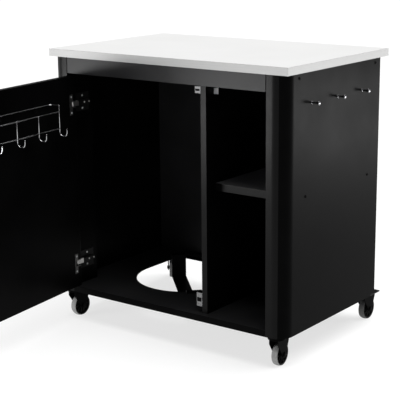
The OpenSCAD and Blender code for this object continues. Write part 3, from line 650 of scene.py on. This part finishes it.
def pegs():
    """Turned pegs: a small collar, a slim neck and a flared, domed head."""
    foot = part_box("side_panel_right")[1].x
    shank_r = 3 * MM
    overlap = 0.2 * MM
    for node in ("peg_front", "peg_middle", "peg_rear"):
        low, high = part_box(node)
        centre = (low + high) / 2
        head_r = (high.y - low.y) / 2
        reach = high.x - foot
        neck = 3.2 * MM
        collar = 4.3 * MM
        profile = [(0, 0), (collar, 0), (collar, 0.7 * MM), (collar * 0.95, 1.1 * MM)]
        profile += [(neck * 1.05, 1.2 * MM), (neck, 2.4 * MM), (neck, reach * 0.62)]
        profile += [(neck * 1.06, reach * 0.68), (neck * 1.30, reach * 0.76)]
        profile += [(head_r * 0.82, reach * 0.83), (head_r * 0.97, reach * 0.865)]
        profile += arc(head_r - 1.0 * MM, reach * 0.91, 1.0 * MM, -30, 60, 6)
        profile += [(head_r * 0.70, reach * 0.972), (head_r * 0.35, reach * 0.994), (0, reach)]
        bm = bmesh.new()
        lathe(bm, profile, 56, axis_frame((foot, centre.y, centre.z), (1, 0, 0)))
        start = Vector((foot + overlap, centre.y, centre.z))
        threaded(bm, start, Vector((1, 0, 0)), shank_r, foot - low.x)
        obj = make_object(node + ".turned", bm, SMOKED, sharp=50)
        settle(obj, "cabinet", "dark_chrome", node)


def hex_nut(bm, middle, axis, across, height, bore):
    """A hexagon nut with chamfered corners, its lower face at the middle point."""
    corner = across / math.sqrt(3)
    part = bmesh.new()
    levels = ((bore, 0), (corner * 0.90, 0), (corner, height * 0.12), (corner, height * 0.88),
              (corner * 0.90, height), (bore * 1.1, height), (bore, height * 0.93), (bore, 0))
    count = 48
    rings = []
    for r, z in levels:
        ring = []
        for i in range(count):
            a = 2 * math.pi * i / count
            flat = across / 2 / math.cos((a % (math.pi / 3)) - math.pi / 6)
            reach = min(r, flat) if r > bore * 1.2 else r
            ring.append(part.verts.new((reach * math.cos(a), reach * math.sin(a), z)))
        rings.append(ring)
    for low, high in zip(rings, rings[1:]):
        for i in range(len(low)):
            j = (i + 1) % len(low)
            part.faces.new((low[i], low[j], high[j], high[i]))
    bmesh.ops.remove_doubles(part, verts=part.verts, dist=1e-7)
    bmesh.ops.transform(part, matrix=axis_frame(middle, axis), verts=part.verts)
    merge_into(bm, part)


def nuts(node, axis, bore):
    """Chamfered nuts where a CAD node has plain hexagons."""
    bm = bmesh.new()
    direction = Vector(axis)
    for points in solids(node):
        along = points @ np.array(axis, float)
        middle = (points.max(0) + points.min(0)) / 2
        height = np.ptp(along)
        base = Vector(middle) - direction * height / 2
        off = points - middle
        off = off - np.outer(off @ np.array(axis, float), axis)
        across = np.linalg.norm(off, axis=1).max() * math.sqrt(3)
        hex_nut(bm, base, direction, across, height, bore)
    obj = make_object(node + ".hex", bm, ZINC, sharp=25)
    settle(obj, body_of(node), "zinc", node)


pegs()
nuts("peg_nuts", (-1, 0, 0), 3 * MM)
nuts("caster_nuts", (0, 0, 1), 4 * MM)
for name in ("catch_top", "catch_bottom", "strike_plates"):
    refined(name, 0.25 * MM, finish=DULL_ZINC)
refined("partition_bracket", 0.25 * MM, finish=BRIGHT_ZINC)


def catch_magnets():
    """The dark magnet that shows across the middle of each catch."""
    share = 0.3
    left, right = 1.5 * MM, 4 * MM
    proud, sunk = 0.5 * MM, 1 * MM
    for spot in ("bottom", "top"):
        low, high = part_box("catch_" + spot)
        middle = (low.z + high.z) / 2
        reach = (high.z - low.z) * share / 2
        bm = bmesh.new()
        block(bm, (low.x + left, low.y - proud, middle - reach),
              (high.x - right, low.y + sunk, middle + reach), 0.3 * MM)
        settle(make_object("catch_magnet_" + spot, bm, OXIDE), "cabinet", "black_oxide")


catch_magnets()


# ---------------------------------------------------------------- hinges, rack and handle

for name in ("hinge_cup_bottom", "hinge_cup_top"):
    refined(name, 0.4 * MM, 3, DULL_NICKEL)
# The hinge plates and arms are near-black, painted shade inside the cabinet.
for name in ("hinge_plate_bottom", "hinge_plate_top"):
    refined(name, 0.4 * MM, 3, HINGE_PAINTED_SHADE)
for name in ("hinge_arm_bottom", "hinge_arm_top"):
    refined(name, 1.6 * MM, 4, HINGE_PAINTED_SHADE)
for name in ("hinge_link_bottom", "hinge_link_top"):
    refined(name, 0.5 * MM, 3)
refined("hinge_pins", 0.5 * MM)


def arm_screws():
    """The two adjusting screws on the broad face of each hinge arm."""
    for spot in ("bottom", "top"):
        low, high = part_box("hinge_arm_" + spot)
        z = (low.z + high.z) / 2
        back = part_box("hinge_plate_" + spot)[1].y
        bm = bmesh.new()
        for inset, r in ((34 * MM, 3.4 * MM), (11 * MM, 3.0 * MM)):
            face = (high.x + 1.0 * MM, back - inset, z)
            cross_head(bm, face, (1, 0, 0), head_r=r, head_h=1.6 * MM, steps=32, rings=10)
        obj = make_object("hinge_adjusters_" + spot, bm, NICKEL, sharp=40)
        settle(obj, "cabinet", "nickel")


def to_closed_door():
    """The turn that carries the open door to where it closes."""
    joint = joints["door_hinge"]
    pivot = Matrix.Translation(Vector(joint["pos_m"]))
    swing = Matrix.Rotation(math.radians(joint["range_deg"][1]), 4, "Z")
    return pivot @ swing @ pivot.inverted()


def closed_box(node):
    """A door node's two corners, measured on the closed door."""
    turn = to_closed_door()
    points = [turn @ v.co for v in nodes[node].data.vertices]
    low = Vector([min(p[i] for p in points) for i in range(3)])
    high = Vector([max(p[i] for p in points) for i in range(3)])
    return low, high


def hook_rack():
    """Bent and welded wire: a rail at the door, two front rails and four hooks, on two tabs."""
    wire = 1.8 * MM
    turn_r = 14 * MM
    bend = 10 * MM
    low, high = closed_box("hook_rack")
    x0, x1 = low.x + wire, high.x - wire
    tab_high = 5 * MM
    top = high.z - tab_high
    tab_low = top - 18 * MM
    mid, under = top - 20 * MM, top - 74 * MM
    back = low.y + wire + 2 * MM
    front = high.y - wire - 2 * turn_r
    turn_z = low.z + wire + turn_r
    tip = turn_z + 9 * MM
    bm = bmesh.new()
    corner_a = [(x0 + bend + x, back + bend + y, top) for x, y in arc(0, 0, bend, 270, 180, 10)]
    corner_b = [(x1 - bend + x, back + bend + y, top) for x, y in arc(0, 0, bend, 0, -90, 10)]
    rail = [(x0, front, top)] + corner_a[::-1] + corner_b[::-1] + [(x1, front, top)]
    tube(bm, rail, wire)
    for z in (mid, under):
        tube(bm, [(x0, front, z), (x1, front, z)], wire)
    count = 4
    for i in range(count):
        x = x0 + (x1 - x0) * i / (count - 1)
        start = top if i in (0, count - 1) else mid
        drop = [(x, front, start), (x, front, turn_z + 4 * MM)]
        hook = [(x, front + turn_r + y, turn_z + z) for y, z in arc(0, 0, turn_r, 180, 360, 22)]
        tube(bm, drop + hook + [(x, front + 2 * turn_r, tip)], wire)
        for z in (mid, under):
            weld_bead(bm, (x, front, z), wire * 1.12)
    tab_half, tab_t, tab_inset = 6 * MM, 3 * MM, 73 * MM
    tabs = bmesh.new()
    for x in (x0 + tab_inset, x1 - tab_inset):
        foot = (x - tab_half, low.y, tab_low)
        head = (x + tab_half, low.y + tab_t, high.z)
        block(tabs, foot, head, 0.6 * MM)
        weld_bead(bm, (x, low.y + tab_t, top), wire * 1.1)
    # The tabs take black oxide instead of the wire's chrome: painted shade where they would catch a bright
    # reflection.
    for part, name, finish in ((bm, "hook_rack.wire", CHROME), (tabs, "hook_rack.tabs", OXIDE)):
        bmesh.ops.transform(part, matrix=to_closed_door().inverted(), verts=part.verts)
        settle(make_object(name, part, finish, sharp=40), "door", "chrome", "hook_rack")


def weld_bead(bm, centre, radius):
    """A small swelling where two wires are welded."""
    profile = [(0, -radius), (radius * 0.7, -radius * 0.72), (radius, 0), (radius * 0.7, radius * 0.72)]
    lathe(bm, profile + [(0, radius)], 16, axis_frame(centre, (1, 0, 0)))


arm_screws()
hook_rack()
refined("handle", 0.4 * MM)


# ---------------------------------------------------------------- casters


def caster_frame(spot):
    """Matrix of a caster's wheel: origin at its centre, +Z along its axle."""
    joint = joints["wheel_" + spot + "_spin"]
    return axis_frame(joint["pos_m"], joint["axis"])


def tyres():
    """Thin crowned treads; the rear ones in a darker copy of the rubber, painted shade."""
    half = 10 * MM
    drop = 2.2 * MM
    thick = 2.95 * MM
    steps = 8
    for spot in SPOTS:
        node = "tyre_" + spot
        low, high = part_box(node)
        r = (high.z - low.z) / 2
        inner = r - thick
        profile = [(inner, -half)]
        for i in range(-steps, steps + 1):
            share = i / steps
            profile.append((r - drop * share ** 2, half * share))
        profile += [(inner, half), (inner, -half)]
        bm = bmesh.new()
        lathe(bm, profile, 112, caster_frame(spot))
        bmesh.ops.remove_doubles(bm, verts=bm.verts, dist=1e-7)
        # Rear treads take the darker copy, painted shade under the cart.
        finish = REAR_TREAD_PAINTED_SHADE if spot.startswith("rear") else TREAD
        obj = make_object(node + ".tread", bm, finish, sharp=45)
        settle(obj, body_of(node), "tread", node)


def wheel_cores():
    """Moulded cores: a rim, a hub and ribs between them, over a thin web."""
    ribs = 10
    rim_r = 34.5 * MM
    rim_in = 30.5 * MM
    hub = 9 * MM
    bore = 4.1 * MM
    half = 9.4 * MM
    hub_half = 11.9 * MM
    web = 2.6 * MM
    rib_half = 0.9 * MM
    rib_inset = 1.6 * MM
    for spot in SPOTS:
        node = "wheel_" + spot
        turn = caster_frame(spot)
        face = [(bore, hub_half), (hub - 1 * MM, hub_half), (hub, hub_half - 1 * MM)]
        face += [(hub + 0.6 * MM, web), (rim_in - 0.6 * MM, web), (rim_in, half - 0.6 * MM)]
        face += [(rim_in + 0.6 * MM, half), (rim_r - 0.5 * MM, half), (rim_r, half - 0.6 * MM)]
        back = [(x, -z) for x, z in reversed(face)]
        bm = bmesh.new()
        lathe(bm, face + back + [face[0]], 72, turn)
        bmesh.ops.remove_doubles(bm, verts=bm.verts, dist=1e-7)
        for i in range(ribs):
            spin = Matrix.Rotation(2 * math.pi * i / ribs, 4, "Z")
            low = (hub - 0.6 * MM, -rib_half, -half + rib_inset)
            high = (rim_in + 0.5 * MM, rib_half, half - rib_inset)
            block(bm, low, high, 0.4 * MM, turn @ spin)
        obj = make_object(node + ".moulded", bm, CORE, sharp=35)
        settle(obj, body_of(node), "wheel_core", node)


def axles():
    """Domed bolts with nuts: the bolt's end stands proud of the nut."""
    out = 16.2 * MM
    shank = 4 * MM
    for spot in SPOTS:
        node = "axle_" + spot
        turn = caster_frame(spot)
        bm = bmesh.new()
        end = [(0, out + 4.5 * MM), (shank * 0.8, out + 4.4 * MM), (shank, out + 3.9 * MM)]
        lathe(bm, end + [(shank, -out - 0.3 * MM), (0, -out - 0.3 * MM)], 32, turn)
        dome = [(0, -out - 3.8 * MM), (3 * MM, -out - 3.6 * MM), (5.4 * MM, -out - 2.8 * MM),
                (6.8 * MM, -out - 1.4 * MM), (7 * MM, -out), (0, -out)]
        lathe(bm, dome, 40, turn)
        hex_nut(bm, turn @ Vector((0, 0, out)), turn.to_3x3() @ Vector((0, 0, 1)), 12.6 * MM,
                3.9 * MM, shank)
        obj = make_object(node + ".bolt", bm, OXIDE, sharp=30)
        settle(obj, body_of(node), "black_oxide", node)


tyres()
wheel_cores()
axles()
for spot in SPOTS:
    refined("fork_" + spot, 0.8 * MM, 3)
refined("caster_heads", 0.8 * MM, 3)


# ---------------------------------------------------------------- floor, light and camera


def stage_floor():
    """A wide plain floor."""
    bm = bmesh.new()
    bmesh.ops.create_grid(bm, x_segments=4, y_segments=4, size=40)
    floor = make_object("studio_floor", bm, floor_material(), smooth=False)


def area_light(name, place, target, size, power):
    """A rectangular light that faces the target."""
    data = bpy.data.lights.new(name, "AREA")
    data.shape = "RECTANGLE"
    data.size, data.size_y = size
    data.energy = power
    light = bpy.data.objects.new(name, data)
    light.location = place
    aim = Vector(target) - Vector(place)
    light.rotation_euler = aim.to_track_quat("-Z", "Y").to_euler()
    bpy.context.scene.collection.objects.link(light)


def lights():
    """Soft light from above, two low boxes for the satin panels and a plain surround.

    The camera sees the surround as white, and it lights the object only dimly.
    """
    sun_heading = (-0.26, -0.14, -1)
    sun = bpy.data.lights.new("overhead", "SUN")
    sun.energy = 3.5
    sun.angle = math.radians(60)
    lamp = bpy.data.objects.new("overhead", sun)
    lamp.rotation_euler = Vector(sun_heading).to_track_quat("-Z", "Y").to_euler()
    bpy.context.scene.collection.objects.link(lamp)
    area_light("front_box", place=(-1.45, -2.2, 0.40), target=(-0.1, -0.3, 0.6), size=(1.4, 0.4), power=38)
    area_light("side_box", place=(1.9, 1.95, 0.36), target=(0.46, 0.0, 0.6), size=(1.0, 0.4), power=20)
    world = bpy.data.worlds.new("studio")
    world.use_nodes = True
    tree = world.node_tree
    dim = tree.nodes["Background"]
    dim.inputs["Color"].default_value = (1, 1, 1, 1)
    dim.inputs["Strength"].default_value = 0.15
    plain = add_node(tree, "ShaderNodeBackground", Color=(1, 1, 1, 1), Strength=1.0)
    path = add_node(tree, "ShaderNodeLightPath")
    mix = add_node(tree, "ShaderNodeMixShader")
    tree.links.new(path.outputs["Is Camera Ray"], mix.inputs[0])
    tree.links.new(dim.outputs[0], mix.inputs[1])
    tree.links.new(plain.outputs[0], mix.inputs[2])
    tree.links.new(mix.outputs[0], tree.nodes["World Output"].inputs["Surface"])
    bpy.context.scene.world = world


def camera():
    """A long lens that looks down a little on the front and the right side."""
    place = (2.2830, -3.1434, 1.3507)
    yaw = math.radians(36.879)
    pitch = math.radians(13.529)
    roll = math.radians(-0.508)
    level = math.cos(pitch)
    ahead = Vector((-math.sin(yaw) * level, math.cos(yaw) * level, -math.sin(pitch)))
    side = Vector((math.cos(yaw), math.sin(yaw), 0))
    up = side.cross(ahead)
    side_r = side * math.cos(roll) + up * math.sin(roll)
    up_r = up * math.cos(roll) - side * math.sin(roll)
    data = bpy.data.cameras.new("camera")
    data.sensor_width = 36
    data.lens = 107.34
    data.clip_end = 200
    cam = bpy.data.objects.new("camera", data)
    turn = Matrix((side_r, up_r, -ahead)).transposed().to_4x4()
    cam.matrix_world = Matrix.Translation(place) @ turn
    bpy.context.scene.collection.objects.link(cam)
    bpy.context.scene.camera = cam


stage_floor()
lights()
camera()
bpy.context.scene.view_settings.view_transform = "Standard"
